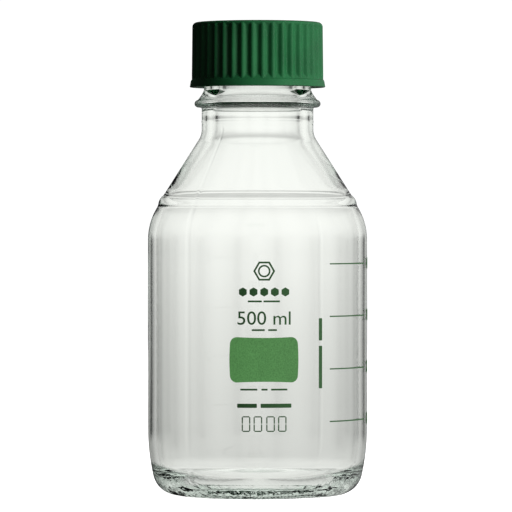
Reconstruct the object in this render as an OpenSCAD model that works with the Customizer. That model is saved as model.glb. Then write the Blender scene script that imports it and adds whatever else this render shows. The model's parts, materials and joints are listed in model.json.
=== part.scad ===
// Reagent bottle: a round 500 ml glass bottle with a GL 45 screw neck, a pouring ring, a screw
// cap with a two-layer seal, and fired enamel marks. Millimetres, +Z up. The origin is the
// centre of the bearing ring that the bottle stands on. The marks face -Y.

/* [Body] */
// Outside diameter of the straight body
body_d = 86; // [74:0.5:106]
// Thickness of the side wall
wall = 2.9; // [2:0.05:4.5]
// Height where the straight body gives way to the shoulder corner
body_top = 100; // [80:1:140]
// Height below which the body draws in towards the base
draw_start = 26; // [18:0.5:34]
// Radius of the long curve by which the body draws in
draw_r = 85; // [70:1:140]

/* [Base] */
// Radius of the heel between the body and the bearing ring
heel_r = 9.6; // [6:0.1:14]
// Width of the flat bearing ring
bearing_w = 3.4; // [2:0.1:6]
// Rise of the hollow under the base
push_up = 3; // [1:0.1:5]
// Thickness of the floor above the bearing ring
floor_t = 5.8; // [3:0.1:8]
// Radius inside, between the floor and the wall
inner_heel_r = 9; // [5:0.5:14]

/* [Shoulder] */
// Radius of the corner between the body and the shoulder
corner_r = 24; // [16:0.5:32]
// Angle through which the corner turns before the seam band
corner_turn = 33.6; // [25:0.1:42]
// Height of the upright band at the mould seam
band_h = 2.7; // [1:0.1:5]
// Angle of the shoulder from the bottle's axis
shoulder_angle = 34.5; // [28:0.5:45]
// Radius of the hollow curve from the shoulder into the neck
neck_fillet = 7.6; // [4:0.1:14]

/* [Neck] */
// Outside diameter of the neck under the bead
neck_d = 43.8; // [42.5:0.1:46]
// Wall of the neck, which is thicker than the body's
neck_wall = 4.4; // [3:0.1:5.5]
// Length of the straight neck under the bead
neck_len = 8.6; // [5:0.1:14]
// Largest diameter of the bead
bead_d = 49.5; // [47:0.1:51]
// Radius of the bead's nose
bead_nose_r = 1.45; // [0.8:0.05:1.8]
// Height of the sloping top of the bead
bead_slope_h = 3.9; // [3:0.1:6]
// Length of the threaded finish, from the underside of the bead to the rim
finish_len = 27.2; // [26:0.1:34]
// Diameter of the bore of the mouth
mouth_d = 30; // [26:0.1:33]

/* [Thread] */
// Diameter at the root of the glass thread
thread_root_d = 42.1; // [41.6:0.1:42.5]
// Diameter over the crest of the glass thread
thread_d = 44.7; // [44:0.1:45.2]
// Lead of the thread, for one turn
pitch = 4; // [3.8:0.1:4.4]
// Turns of thread on the glass
glass_turns = 2; // [1.5:0.25:2.5]
// Turns of thread in the cap
cap_turns = 1.75; // [1:0.25:2]
// Distance from the rim down to the top of the glass thread
thread_drop = 5.6; // [5:0.1:8]
// Radial clearance between the threads
thread_gap = 0.45; // [0.3:0.05:0.6]

/* [Pouring ring] */
// Diameter of the glass rim that the ring snaps over
rim_d = 38.8; // [38:0.1:39.4]
// Height of the rim that the ring covers
rim_h = 4.6; // [4:0.1:5]
// Height of the snap bead on the glass rim
snap_h = 1.6; // [1.2:0.1:2]
// How far the snap bead stands out from the rim
snap_out = 0.5; // [0.3:0.05:0.7]
// Gap between the ring and the glass
ring_gap = 0.15; // [0.1:0.05:0.25]
// Wall thickness of the ring beside the snap bead
ring_wall = 0.85; // [0.6:0.05:1]
// Thickness of the ring above the rim
ring_top_t = 1.3; // [1:0.1:2]
// Height of the drip lip above the ring
lip_h = 0.6; // [0.4:0.1:1.2]
// Width of the drip lip
lip_w = 1.1; // [0.8:0.1:1.5]

/* [Seal] */
// Diameter of the seal
seal_d = 42; // [40:0.5:42.5]
// Thickness of the silicone disc
seal_t = 1.8; // [1.2:0.1:3]
// Thickness of the hard facing under the disc
facing_t = 0.4; // [0.3:0.05:0.8]
// Gap between the seal and what lies above and below it
seal_gap = 0.08; // [0.05:0.01:0.1]

/* [Cap] */
// Height of the cap
cap_h = 25.5; // [25:0.1:28]
// Diameter over the ribs
rib_d = 51.6; // [51:0.1:54]
// Number of grip ribs
rib_count = 40; // [30:1:48]
// Depth of the grooves between the ribs
rib_depth = 1.05; // [0.6:0.05:1.1]
// Thickness of the top of the cap
cap_top_t = 1.75; // [1.2:0.05:3]
// Radius around the top edge
cap_edge_r = 1.9; // [1:0.1:2.5]
// Diameter of the plain flange at the foot
flange_d = 53.2; // [52.8:0.1:56]
// Height of the flange
flange_h = 2.9; // [2.5:0.1:5]
// How much the flange narrows towards its top
flange_taper = 0.7; // [0:0.1:0.8]

/* [Marks] */
// Gap between the enamel and the glass
enamel_gap = 0.02; // [0.01:0.01:0.05]
// Thickness of the enamel
enamel_t = 0.1; // [0.05:0.01:0.2]
// Angle of the printed column, from the front towards +X
column_angle = 3.4; // [0:0.1:10]
// Width of the writing field
field_w = 26.4; // [20:0.1:34]
// Height of the writing field
field_h = 17.7; // [12:0.1:24]
// Radius of the writing field's corners
field_corner_r = 3; // [1:0.1:5]
// Height of the middle of the writing field
field_z = 54.2; // [45:0.1:65]
// Height of the lowest graduation line
first_line_z = 30.1; // [28:0.1:36]
// Distance between graduation lines
line_step = 20.25; // [12:0.05:22]
// Number of graduation lines
line_count = 4; // [2:1:4]
// Thickness of a graduation line
line_t = 0.5; // [0.3:0.05:0.8]
// Angle where the graduation lines start
line_from = 40.3; // [30:0.1:50]
// Angle where the graduation lines end
line_to = 75; // [60:0.5:78]
// Angle of the middle of the numerals
numeral_angle = 86; // [80:0.5:95]
// Height of the numerals
numeral_h = 4.2; // [3:0.1:6]
// Angle of the upright legend beside the graduation
legend_angle = 34.2; // [25:0.1:38]

/* [Hidden] */
$fn = 180;

body_r = body_d / 2;
neck_r = neck_d / 2;
root_r = thread_root_d / 2;
crest_r = thread_d / 2;
mouth_r = mouth_d / 2;
rim_r = rim_d / 2;
bead_r = bead_d / 2;

// Heel: an arc that stands on the bearing ring and meets the long draw-in curve tangentially
heel_turn = asin((draw_start - heel_r) / (draw_r - heel_r));
heel_cr = body_r - draw_r + (draw_r - heel_r) * cos(heel_turn);
bearing_in_r = heel_cr - bearing_w;
dome_r = (bearing_in_r * bearing_in_r + push_up * push_up) / (2 * push_up);

// Heights up the bottle, each from the one below
band_z = body_top + corner_r * sin(corner_turn);
band_r = body_r - corner_r * (1 - cos(corner_turn));
band_top = band_z + band_h;
fillet_r = neck_r + neck_fillet * (1 - cos(shoulder_angle));
fillet_z = band_top + (band_r - fillet_r) / tan(shoulder_angle);
neck_z = fillet_z + neck_fillet * sin(shoulder_angle);
bead_z = neck_z + neck_len;
rim_z = bead_z + finish_len;
bead_nose_z = bead_z + bead_nose_r;
bead_top_z = bead_nose_z + bead_nose_r + bead_slope_h;

// Inside of the glass
inner_band_r = band_r - wall;
// Height where the inside starts to open from the mouth's bore towards the shoulder
inner_neck_r = neck_r - neck_wall;
inner_heel_turn = asin((draw_start - floor_t - inner_heel_r) / (draw_r - wall - inner_heel_r));
inner_heel_cr = body_r - draw_r + (draw_r - wall - inner_heel_r) * cos(inner_heel_turn);

// Pouring ring, seal and cap, each seated on the one below
snap_r = rim_r + snap_out;
ring_out_r = snap_r + ring_gap + ring_wall;
ring_z = rim_z - rim_h + 0.4;
ring_top = rim_z + ring_gap + ring_top_t;
lip_top = ring_top + lip_h;
facing_z = lip_top + seal_gap;
disc_z = facing_z + facing_t;
cap_inner_top = disc_z + seal_t + seal_gap;
cap_top = cap_inner_top + cap_top_t;
cap_z = cap_top - cap_h;
cap_bore_r = crest_r + thread_gap;
cap_crest_r = root_r + thread_gap;
rib_r = rib_d / 2;
groove_r = rib_r - rib_depth;
flange_r = flange_d / 2;

// Thread sections: width at the root and at the crest
thread_root_w = 2.3;
thread_crest_w = 1;
cap_thread_root_w = 1.9;
cap_thread_crest_w = 0.7;
thread_bury = 0.6;
// How far the cap's thread lies under the glass thread
thread_under = 1.7;
glass_thread_z = rim_z - thread_drop - glass_turns * pitch;
cap_thread_z = glass_thread_z - thread_under;
thread_start = 20;
thread_steps = 48;
thread_fade = 30;

// Angles of the arcs in the outlines
arc_step = 6;
band_round = 0.8;

// Points on an arc about [r, z], from angle a to angle b
function arc(r, z, radius, a, b) =
    let (n = max(2, ceil(abs(b - a) / arc_step)))
    [for (i = [0:n]) let (t = a + (b - a) * i / n) [r + radius * cos(t), z + radius * sin(t)]];

// Outside of the glass, from the centre of the base up to the rim
function glass_outside() = concat(
    [[0, push_up]],
    arc(0, push_up - dome_r, dome_r, 90, 90 - asin(bearing_in_r / dome_r)),
    arc(heel_cr, heel_r, heel_r, -90, -heel_turn),
    arc(body_r - draw_r, draw_start, draw_r, -heel_turn, 0),
    arc(body_r - corner_r, body_top, corner_r, 0, corner_turn),
    arc(band_r - band_round, band_top - band_round / 2, band_round, 0, 90 - shoulder_angle),
    arc(neck_r + neck_fillet, neck_z, neck_fillet, 180 + shoulder_angle, 180),
    [[neck_r, bead_z - 0.6], [neck_r + 0.6, bead_z]],
    arc(bead_r - bead_nose_r, bead_nose_z, bead_nose_r, -90, 66),
    [[root_r + 0.35, bead_top_z - 0.9], [root_r, bead_top_z]],
    [[root_r, rim_z - rim_h - 0.8], [rim_r, rim_z - rim_h], [rim_r, rim_z - snap_h - 0.3]],
    arc(snap_r - snap_h / 2, rim_z - snap_h / 2, snap_h / 2, -50, 70),
    [[mouth_r + 1, rim_z]]
);

// Inside of the glass, from the rim down to the centre of the floor
function glass_inside() = concat(
    arc(mouth_r + 1, rim_z - 1, 1, 90, 180),
    [[mouth_r, bead_top_z], [inner_neck_r, bead_z]],
    arc(neck_r + neck_fillet, neck_z, neck_fillet + neck_wall, 180, 180 + shoulder_angle),
    [[inner_band_r, band_top - wall * sin(shoulder_angle) / 2]],
    arc(body_r - corner_r, body_top, corner_r - wall, corner_turn, 0),
    arc(body_r - draw_r, draw_start, draw_r - wall, 0, -inner_heel_turn),
    arc(inner_heel_cr, floor_t + inner_heel_r, inner_heel_r, -inner_heel_turn, -90),
    [[0, floor_t + push_up]]
);

// A thread as one swept solid. It fades into the wall at both ends
module thread(z, turns, wall_r, tip_r, wall_w, tip_w) {
    n = thread_steps * turns;
    side = sign(tip_r - wall_r);
    slope = (wall_w - tip_w) / abs(tip_r - wall_r);
    buried_r = wall_r - side * thread_bury;
    buried_w = wall_w + slope * thread_bury;
    function ring(i) =
        let (
            turn = 360 * i / thread_steps,
            a = turn + thread_start,
            h = z + pitch * i / thread_steps,
            fade = min(1, turn / thread_fade, (360 * turns - turn) / thread_fade),
            tip = wall_r - side * thread_bury / 2 + (abs(tip_r - wall_r) + thread_bury / 2) * side * fade,
            tip_half = (buried_w - abs(tip - buried_r) * slope) / 2
        )
        [
            [buried_r * cos(a), buried_r * sin(a), h - buried_w / 2],
            [tip * cos(a), tip * sin(a), h - tip_half],
            [tip * cos(a), tip * sin(a), h + tip_half],
            [buried_r * cos(a), buried_r * sin(a), h + buried_w / 2]
        ];
    points = [for (i = [0:n]) each ring(i)];
    sides = [
        for (i = [0:n - 1], k = [0:3])
            let (p = 4 * i + k, q = 4 * i + (k + 1) % 4)
            each [[p, p + 4, q], [q, p + 4, q + 4]]
    ];
    ends = [[0, 1, 2], [0, 2, 3], [4 * n, 4 * n + 2, 4 * n + 1], [4 * n, 4 * n + 3, 4 * n + 2]];
    faces = concat(sides, ends);
    polyhedron(points, side < 0 ? faces : [for (f = faces) [f[2], f[1], f[0]]], convexity = 6);
}

module glass_bottle() {
    color([0.86, 0.9, 0.88, 0.45]) {
        rotate_extrude() polygon(concat(glass_outside(), glass_inside()));
        thread(glass_thread_z, glass_turns, root_r, crest_r, thread_root_w, thread_crest_w);
    }
}

module pouring_ring() {
    hook_r = rim_r + ring_gap;
    room_r = snap_r + ring_gap;
    room_z = rim_z - snap_h - 0.4;
    color([0.13, 0.42, 0.24]) rotate_extrude() polygon([
        [hook_r, ring_z],
        [ring_out_r, ring_z],
        [ring_out_r, ring_top - 0.4],
        [ring_out_r - 0.4, ring_top],
        [ring_out_r - 0.4, lip_top],
        [ring_out_r - 0.4 - lip_w, lip_top],
        [ring_out_r - 0.4 - lip_w - lip_h, ring_top],
        [mouth_r + 0.8, ring_top],
        [mouth_r + 0.3, ring_top - 0.5],
        [mouth_r + 0.3, rim_z + ring_gap],
        [room_r, rim_z + ring_gap],
        [room_r, room_z],
        [hook_r, room_z - 0.5]
    ]);
}

module rib() {
    foot = PI * groove_r / rib_count;
    linear_extrude(cap_top - cap_edge_r - cap_z - flange_h) polygon([
        [groove_r - 0.4, -foot * 0.82],
        [groove_r, -foot * 0.78],
        [rib_r - 0.25, -foot * 0.52],
        [rib_r, -foot * 0.3],
        [rib_r, foot * 0.3],
        [rib_r - 0.25, foot * 0.52],
        [groove_r, foot * 0.78],
        [groove_r - 0.4, foot * 0.82]
    ]);
}

module screw_cap() {
    edge = arc(groove_r - cap_edge_r + 0.3, cap_top - cap_edge_r, cap_edge_r, 0, 90);
    color([0.11, 0.4, 0.2]) {
        rotate_extrude() polygon(concat(
            [
                [0, cap_inner_top],
                [cap_bore_r, cap_inner_top],
                [cap_bore_r, cap_z + 0.8],
                [cap_bore_r + 0.8, cap_z],
                [flange_r, cap_z],
                [flange_r - flange_taper, cap_z + flange_h],
                [groove_r + 0.3, cap_z + flange_h],
                [groove_r + 0.3, cap_z + flange_h + 0.3],
                [groove_r, cap_z + flange_h + 0.6],
                [groove_r, cap_top - cap_edge_r - 0.3]
            ],
            edge,
            [[0, cap_top]]
        ));
        for (i = [0:rib_count - 1]) {
            rotate(360 * i / rib_count) translate([0, 0, cap_z + flange_h]) rib();
        }
        thread(cap_thread_z, cap_turns, cap_bore_r, cap_crest_r, cap_thread_root_w, cap_thread_crest_w);
    }
}

module seal_disc() {
    color([0.86, 0.84, 0.8]) translate([0, 0, disc_z]) cylinder(h = seal_t, d = seal_d);
}

module seal_facing() {
    color([0.95, 0.95, 0.94]) translate([0, 0, facing_z]) cylinder(h = facing_t, d = seal_d);
}

// A flat mark laid on the body: drawn upright about [0, 0], centred at an angle and a height
module enamel(angle, z, reach = 12) {
    color([0.28, 0.49, 0.27]) intersection() {
        translate([0, 0, z - reach]) rotate_extrude() translate([body_r + enamel_gap, 0])
            square([enamel_t, 2 * reach]);
        rotate([0, 0, angle]) translate([0, 0, z]) rotate([90, 0, 0])
            translate([0, 0, body_r * 0.75]) linear_extrude(body_r * 0.5) children();
    }
}

// Segments of a seven-segment digit: top, upper left, upper right, middle, lower left, lower right, foot
SEGMENTS = [
    [1, 1, 1, 0, 1, 1, 1], [0, 0, 1, 0, 0, 1, 0], [1, 0, 1, 1, 1, 0, 1], [1, 0, 1, 1, 0, 1, 1],
    [0, 1, 1, 1, 0, 1, 0], [1, 1, 0, 1, 0, 1, 1]
];

module digit(value, w, h, t) {
    on = SEGMENTS[value];
    if (on[0]) translate([-w / 2, h / 2 - t]) square([w, t]);
    if (on[1]) translate([-w / 2, 0]) square([t, h / 2]);
    if (on[2]) translate([w / 2 - t, 0]) square([t, h / 2]);
    if (on[3]) translate([-w / 2, -t / 2]) square([w, t]);
    if (on[4]) translate([-w / 2, -h / 2]) square([t, h / 2]);
    if (on[5]) translate([w / 2 - t, -h / 2]) square([t, h / 2]);
    if (on[6]) translate([-w / 2, -h / 2]) square([w, t]);
}

module number(digits, h, t) {
    w = h * 0.55;
    step = h * 0.76;
    for (i = [0:len(digits) - 1]) {
        translate([(i - (len(digits) - 1) / 2) * step, 0]) digit(digits[i], w, h, t);
    }
}

module writing_field() {
    r = field_corner_r;
    enamel(column_angle, field_z) union() {
        square([field_w - 2 * r, field_h], center = true);
        square([field_w, field_h - 2 * r], center = true);
        for (x = [-1, 1], y = [-1, 1]) {
            translate([x * (field_w / 2 - r), y * (field_h / 2 - r)]) circle(r, $fn = 32);
        }
    }
}

module capacity_mark() {
    h = 4.6;
    t = 0.7;
    enamel(column_angle, field_z + 16) {
        translate([-4.4, 0]) number([5, 0, 0], h, t);
        // m and l
        for (x = [3.4, 5.2, 7]) translate([x, -h / 2]) square([t, h * 0.62]);
        translate([3.4, -h / 2 + h * 0.62 - t]) square([3.6 + t, t]);
        translate([8.9, -h / 2]) square([t, h]);
    }
}

// A ring in a hexagon
module emblem() {
    enamel(column_angle, field_z + 34) {
        difference() {
            circle(4.2, $fn = 6);
            circle(3.4, $fn = 6);
        }
        difference() {
            circle(2.4, $fn = 32);
            circle(1.7, $fn = 32);
        }
    }
}

module emblem_row() {
    enamel(column_angle, field_z + 26) {
        for (i = [-2:2]) translate([i * 4.1, 0]) circle(1.75, $fn = 6);
    }
}

// Rows of dashes, each row a list of [centre, length], at its own height above the field's middle
module caption_dashes() {
    dash_t = 0.7;
    rows = [
        [22.4, [[-3.6, 5.4], [2.9, 6.4]]],
        [11.4, [[-2.3, 5], [3.2, 3.4]]],
        [-11.4, [[-5.9, 6.6], [0.1, 2.4], [5.8, 6.4]]]
    ];
    for (row = rows) enamel(column_angle, field_z + row[0]) {
        for (dash = row[1]) translate([dash[0], 0]) square([dash[1], dash_t], center = true);
    }
}

module code_mark() {
    enamel(column_angle, field_z - 17.6) {
        translate([-6.6, 0]) square([7.6, 1.6], center = true);
        translate([4.6, 0]) square([12, 1.6], center = true);
    }
    enamel(column_angle, field_z - 24.6) {
        translate([-4.7, 0]) number([0, 0], 6, 0.45);
        translate([4.7, 0]) number([0, 0], 6, 0.45);
    }
}

module graduation_lines() {
    color([0.28, 0.49, 0.27]) for (i = [0:line_count - 1]) {
        translate([0, 0, first_line_z + i * line_step - line_t / 2]) rotate(line_from - 90)
            rotate_extrude(angle = line_to - line_from) translate([body_r + enamel_gap, 0])
            square([enamel_t, line_t]);
    }
}

module graduation_numerals() {
    for (i = [0:line_count - 1]) {
        enamel(numeral_angle, first_line_z + i * line_step) number([i + 1, 0, 0], numeral_h, 0.55);
    }
}

module volume_legend() {
    enamel(legend_angle, field_z + 2.2, 16) rotate(90) {
        translate([-5.2, 0]) square([16.4, 1.5], center = true);
        translate([9.3, 0]) square([8.6, 1.5], center = true);
    }
}

glass_bottle();
pouring_ring();
screw_cap();
seal_disc();
seal_facing();
writing_field();
capacity_mark();
emblem();
emblem_row();
caption_dashes();
code_mark();
graduation_lines();
graduation_numerals();
volume_legend();
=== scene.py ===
import contextlib
import json
import math
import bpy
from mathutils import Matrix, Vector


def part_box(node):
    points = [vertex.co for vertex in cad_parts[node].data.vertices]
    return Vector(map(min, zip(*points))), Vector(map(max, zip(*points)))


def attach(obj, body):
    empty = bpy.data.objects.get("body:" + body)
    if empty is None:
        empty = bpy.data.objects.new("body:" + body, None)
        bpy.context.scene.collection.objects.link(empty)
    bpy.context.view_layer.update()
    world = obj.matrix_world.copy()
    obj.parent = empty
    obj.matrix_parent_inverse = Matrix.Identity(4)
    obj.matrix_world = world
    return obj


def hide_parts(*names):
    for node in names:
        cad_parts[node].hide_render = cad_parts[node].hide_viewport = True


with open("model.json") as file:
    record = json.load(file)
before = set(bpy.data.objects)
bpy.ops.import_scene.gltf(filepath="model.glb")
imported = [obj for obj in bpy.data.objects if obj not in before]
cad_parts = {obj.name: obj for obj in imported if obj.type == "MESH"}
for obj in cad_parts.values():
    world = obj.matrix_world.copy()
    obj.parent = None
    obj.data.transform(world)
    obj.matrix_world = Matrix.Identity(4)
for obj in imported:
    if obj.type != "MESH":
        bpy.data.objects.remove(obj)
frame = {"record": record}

from types import SimpleNamespace

import bpy
from mathutils import Vector, noise

bl_info = {
    "name": "Reagent bottle",
    "version": (1, 0, 0),
    "blender": (4, 5, 0),
    "location": "3D View > Sidebar > Bottle",
    "description": "A screw-neck bottle with its cap, seal, pouring ring and enamel marks",
    "category": "Add Mesh",
}

MM = 0.001
QUARTER = math.pi / 2
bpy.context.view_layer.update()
MOUNTS = {mount["name"]: mount for mount in frame["record"]["mounts"]}
AXIS_POLE = 0.002 * MM  # nearer the axis than this is on it
MERGE = 0.006 * MM  # doubles are nearer than this
ON_WALL = 0.02 * MM  # a thread rises only from points this close to its wall
ENAMEL_GAP = 0.02 * MM
HEEL_ROWS = 12  # rows of stippling up the heel
RING_ROWS = 4  # rows of stippling across the bearing ring

# Places that the frame gives, in metres
BODY_R = MOUNTS["body_barrel"]["dims"]["r_mm"] * MM
MOUTH_R = MOUNTS["mouth_bore"]["dims"]["r_mm"] * MM
RIM_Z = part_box("glass_bottle")[1].z
CAP_FOOT_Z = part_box("screw_cap")[0].z
CAP_TOP_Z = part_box("screw_cap")[1].z
FACING_LOW_Z, FACING_HIGH_Z = (corner.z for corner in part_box("seal_facing"))
DISC_LOW_Z, DISC_HIGH_Z = (corner.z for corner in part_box("seal_disc"))
SEAL_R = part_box("seal_disc")[1].x
RING_LOW_Z, RING_HIGH_Z = (corner.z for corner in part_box("pouring_ring"))
RING_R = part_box("pouring_ring")[1].x
MARK_R = BODY_R + ENAMEL_GAP
FIELD_LOW, FIELD_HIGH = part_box("writing_field")
FIELD_Z = (FIELD_LOW.z + FIELD_HIGH.z) / 2

# The stage, in metres
CAMERA_PLACE = (-0.6 * MM, -1.7, 0.1127)
CAMERA_AIM = (-0.6 * MM, 0, 0.0935)
LENS = 304.4
PAPER_GLOW = 1.06
WHITE = (1, 1, 1, 1)


def length(name, description, millimetres):
    """A size that the panel shows in length units."""
    return bpy.props.FloatProperty(
        name=name, description=description, default=millimetres * MM, unit="LENGTH", precision=5
    )


def turn(name, description, degrees):
    """An angle that the panel shows in degrees."""
    return bpy.props.FloatProperty(
        name=name, description=description, default=math.radians(degrees), unit="ROTATION"
    )


def colour(name, description, value):
    """A colour that the panel shows as a swatch."""
    return bpy.props.FloatVectorProperty(
        name=name, description=description, default=value, size=4, min=0, max=1, subtype="COLOR"
    )


class GlassSizes(bpy.types.PropertyGroup):
    """Sizes of the glass."""

    wall: length("Wall", "Thickness of the side wall", 2.9)
    body_top: length("Body top", "Height where the straight body gives way to the shoulder", 100)
    draw_start: length("Draw-in height", "Height below which the body draws in", 26)
    draw_r: length("Draw-in radius", "Radius of the long curve towards the base", 85)
    heel_r: length("Heel radius", "Radius between the body and the bearing ring", 9.6)
    bearing_w: length("Bearing ring", "Width of the ring that the bottle stands on", 3.4)
    push_up: length("Push-up", "Rise of the hollow under the base", 3)
    floor_t: length("Floor", "Thickness of the floor above the bearing ring", 5.8)
    inner_heel_r: length("Inner heel", "Radius inside, between the floor and the wall", 9)
    corner_r: length("Corner radius", "Radius between the body and the shoulder", 24)
    corner_turn: turn("Corner angle", "Angle through which that corner turns", 33.6)
    band_h: length("Seam band", "Height of the upright band at the mould seam", 2.7)
    band_round: length("Band rounding", "Radius from the band into the shoulder", 5)
    shoulder_turn: turn("Shoulder angle", "Angle of the shoulder from the axis", 34.5)
    neck_fillet: length("Neck curve", "Radius from the shoulder into the neck", 7.6)
    neck_r: length("Neck radius", "Outside radius of the neck under the bead", 21.9)
    neck_wall: length("Neck wall", "Thickness of the neck, more than the body's", 4.4)
    neck_len: length("Neck length", "Length of the straight neck", 8.6)
    neck_line: length("Neck line", "Height of the mould line round the neck", 0.12)
    neck_line_w: length("Neck line width", "Width of that line", 1)
    neck_line_up: length("Neck line place", "How far up the neck that line is", 3)
    bead_fillet: length("Bead fillet", "Radius from the neck into the bead", 0.7)
    bead_r: length("Bead radius", "Largest radius of the bead", 24.75)
    bead_nose_r: length("Bead nose", "Radius of the bead's nose", 1.45)
    bead_slope_h: length("Bead slope", "Height of the sloping top of the bead", 3.9)
    root_r: length("Thread root", "Radius at the root of the thread", 21.05)
    crest_r: length("Thread crest", "Radius over the crest of the thread", 22.35)
    rim_r: length("Rim radius", "Radius of the rim under the pouring ring", 19.4)
    rim_h: length("Rim height", "Height of that rim", 4.6)
    snap_h: length("Snap bead", "Height of the snap bead on the rim", 1.6)
    snap_out: length("Snap", "How far the snap bead stands out", 0.5)
    stipple: length("Stipple", "Depth of the stippling on the bearing ring", 0.32)
    stipple_top: length("Stipple top", "Height where the stippling has faded out", 5.6)
    stipple_turn: turn("Stipple end", "Angle of the heel, from level, where its rows end", 28)
    seam: length("Mould line", "Height of the mould line up the side", 0.12)
    seam_turn: turn("Mould line angle", "Angle of the mould line from the front", -38.9)
    waviness: length("Waviness", "How uneven the inside of the wall is", 0.1)
    segments: bpy.props.IntProperty(
        name="Segments", description="Steps round the bottle", default=300, min=64, max=360
    )


class ThreadSizes(bpy.types.PropertyGroup):
    """Sizes of the screw thread."""

    pitch: length("Lead", "Rise in one turn", 4)
    drop: length("Drop", "From the rim down to the top of the glass thread", 5.6)
    glass_turns: bpy.props.FloatProperty(
        name="Glass turns", description="Turns of thread on the glass", default=2
    )
    cap_turns: bpy.props.FloatProperty(
        name="Cap turns", description="Turns of thread in the cap", default=1.75
    )
    under: length("Under", "How far the cap's thread lies under the glass thread", 1.7)
    gap: length("Gap", "Radial clearance between the threads", 0.45)
    glass_root_w: length("Glass root width", "Width of the glass thread at its root", 2.4)
    glass_crest_w: length("Glass crest width", "Width of the glass thread at its crest", 0.7)
    cap_root_w: length("Cap root width", "Width of the cap's thread at its root", 2)
    cap_crest_w: length("Cap crest width", "Width of the cap's thread at its crest", 0.5)
    start: turn("Start", "Angle where both threads start", 20)
    fade: turn("Fade", "Angle over which a thread fades out at its ends", 30)


class CapSizes(bpy.types.PropertyGroup):
    """Sizes of the cap."""

    rib_r: length("Rib radius", "Radius over the ribs at their foot", 25.85)
    draft: length("Draft", "How much the cap narrows towards its top", 0.2)
    rib_depth: length("Groove depth", "Depth of the grooves between the ribs", 1.05)
    ribs: bpy.props.IntProperty(name="Ribs", description="Number of grip ribs", default=40)
    edge_r: length("Edge radius", "Radius round the top edge", 1.9)
    flange_r: length("Flange radius", "Radius of the flange at its foot", 26.6)
    flange_h: length("Flange height", "Height of the flange", 2.9)
    flange_taper: length("Flange taper", "How much the flange narrows upwards", 0.45)


class MarkSizes(bpy.types.PropertyGroup):
    """Sizes and places of the enamel marks."""

    thickness: length("Enamel", "Thickness of the enamel", 0.1)
    column: turn("Column angle", "Angle of the printed column from the front", 3.4)
    field_w: length("Field width", "Width of the writing field", 26.9)
    field_h: length("Field height", "Height of the writing field", 17.7)
    field_corner: length("Field corner", "Radius of the writing field's corners", 2.6)
    emblem_up: length("Emblem", "Height of the emblem over the writing field's middle", 34)
    row_up: length("Row", "Height of the row under the emblem over that middle", 26)
    capacity_up: length("Capacity", "Height of the capacity over that middle", 16)
    code_down: length("Code", "Depth of the code's heading under that middle", 17.6)
    legend_up: length("Legend height", "Height of the legend's middle over that middle", 2.2)
    first_line: length("First line", "Height of the lowest graduation line", 30.1)
    line_step: length("Line step", "Distance between graduation lines", 20.25)
    line_t: length("Line", "Thickness of a graduation line", 0.5)
    line_from: turn("Line start", "Angle where the lines start", 40.3)
    line_to: turn("Line end", "Angle where the lines end", 75)
    numeral_turn: turn("Numerals", "Angle of the middle of the numerals", 86)
    legend_turn: turn("Legend", "Angle of the upright legend", 34.2)


class Finishes(bpy.types.PropertyGroup):
    """Colours of the materials."""

    glass: colour("Glass", "What the glass lets through", (0.64, 0.735, 0.685, 1))
    cap: colour("Cap", "Green of the cap and the ring", (0.0125, 0.11, 0.036, 1))
    enamel: colour("Enamel", "Green of the writing field", (0.102, 0.292, 0.09, 1))
    ink: colour("Fine print", "Darker green of the lines and characters", (0.03, 0.088, 0.03, 1))
    silicone: colour("Silicone", "The seal's disc", (0.72, 0.68, 0.62, 1))
    facing: colour("Facing", "The seal's hard face", (0.85, 0.85, 0.83, 1))


def deselect():
    """Leaves nothing selected, because an operator acts on all that is."""
    bpy.ops.object.select_all(action="DESELECT")


def only(piece):
    """Selects one object and makes it the active one."""
    deselect()
    piece.select_set(True)
    bpy.context.view_layer.objects.active = piece


@contextlib.contextmanager
def editing():
    """Edit mode for the steps inside it."""
    bpy.ops.object.mode_set(mode="EDIT")
    yield
    bpy.ops.object.mode_set(mode="OBJECT")


def arc(r, z, radius, start, end, steps):
    """Points of an arc about (r, z), from one angle to another, in radians."""
    turns = [start + (end - start) * i / steps for i in range(steps + 1)]
    return [(r + radius * math.cos(t), z + radius * math.sin(t)) for t in turns]


def blend(start, start_turn, end, end_turn, steps):
    """Points of a smooth curve down a wall that leans inwards by one angle, then by another."""
    reach = math.dist(start, end) / 3
    first = (start[0] + reach * math.sin(start_turn), start[1] - reach * math.cos(start_turn))
    last = (end[0] - reach * math.sin(end_turn), end[1] + reach * math.cos(end_turn))
    points = []
    for i in range(steps + 1):
        t = i / steps
        shares = ((1 - t) ** 3, 3 * t * (1 - t) ** 2, 3 * t * t * (1 - t), t ** 3)
        points.append(tuple(
            sum(share * point[k] for share, point in zip(shares, (start, first, last, end)))
            for k in range(2)))
    return points


def levels(r, start, end, step):
    """Points up or down a straight wall, at most a step apart."""
    count = max(1, math.ceil(abs(end - start) / step))
    return [(r, start + (end - start) * i / count) for i in range(count + 1)]


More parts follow.
